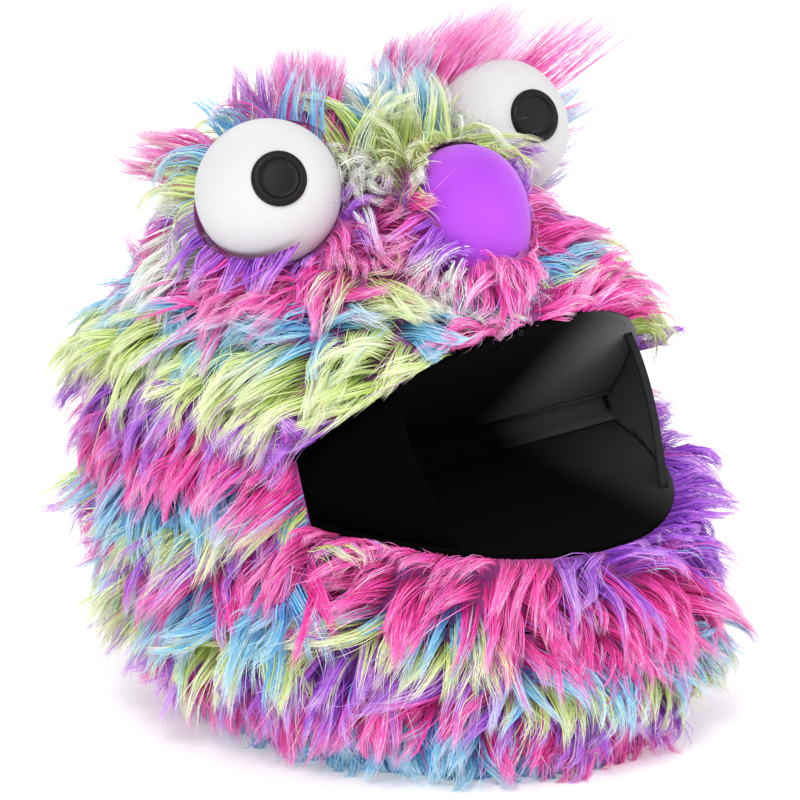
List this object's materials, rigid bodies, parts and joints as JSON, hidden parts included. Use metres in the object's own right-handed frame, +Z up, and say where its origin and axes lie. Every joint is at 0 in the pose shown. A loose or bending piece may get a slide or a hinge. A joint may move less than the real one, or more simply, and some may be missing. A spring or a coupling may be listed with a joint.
{
  "type": "moving mouth puppet",
  "caption": "Free-standing furry monster puppet head with ball eyes, an egg nose and a wide lined mouth whose jaw hinges open and shut on two boards.",
  "frame": {"origin": "middle of the head's outline, on the surface that its hem ring stands on", "axes": "+Z up, the face looks towards -Y, and the puppet's left is at +X"},
  "size_m": [0.294, 0.3498, 0.31],
  "materials": {
    "foam": "open-cell foam",
    "fur": "long shaggy pile in bands of purple, pink, blue and lime",
    "board": "plain hardboard",
    "lining": "matte black knit",
    "zinc_steel": "zinc-plated",
    "hinge_steel": "nickel-plated",
    "webbing": "woven elastic",
    "eye_white": "satin",
    "pupil_black": "satin",
    "nose_fleece": "short-pile fleece",
    "hem_tape": "twill tape",
    "sleeve": "stretch knit"
  },
  "bodies": {
    "head": {"foam_crown": "foam", "foam_muzzle": "foam", "foam_back": "foam", "foam_neck": "foam", "upper_mouth_board": "board", "palate_lining": "lining", "hinge_leaf_upper": "hinge_steel", "hinge_screws_upper": "zinc_steel", "hinge_pin": "hinge_steel", "finger_strap": "webbing", "finger_strap_screws": "zinc_steel", "eye_left": "eye_white", "eye_right": "eye_white", "pupil_left": "pupil_black", "pupil_right": "pupil_black", "eye_studs": "zinc_steel", "eye_washers": "zinc_steel", "eye_nuts": "zinc_steel", "nose": "nose_fleece", "hem_ring": "hem_tape", "arm_sleeve": "sleeve", "fur_crown": "fur", "fur_back": "fur", "fur_muzzle": "fur", "fur_neck": "fur", "fur_throat": "fur", "fur_cheek_left": "fur", "fur_cheek_right": "fur", "mouth_gusset_left": "lining", "mouth_gusset_right": "lining", "lining_fold": "lining"},
    "jaw": {"foam_jaw": "foam", "lower_mouth_board": "board", "mouth_floor_lining": "lining", "hinge_leaf_lower": "hinge_steel", "hinge_screws_lower": "zinc_steel", "thumb_loop": "webbing", "thumb_loop_screws": "zinc_steel", "fur_jaw": "fur"}
  },
  "joints": [
    {"name": "jaw_hinge", "type": "hinge", "parent": "head", "child": "jaw", "pos_m": [0, -0.012, 0.128], "axis": [-1, 0, 0], "range_deg": [0, 36], "deforming": ["fur_throat", "fur_cheek_left", "fur_cheek_right", "mouth_gusset_left", "mouth_gusset_right", "lining_fold"]}
  ]
}
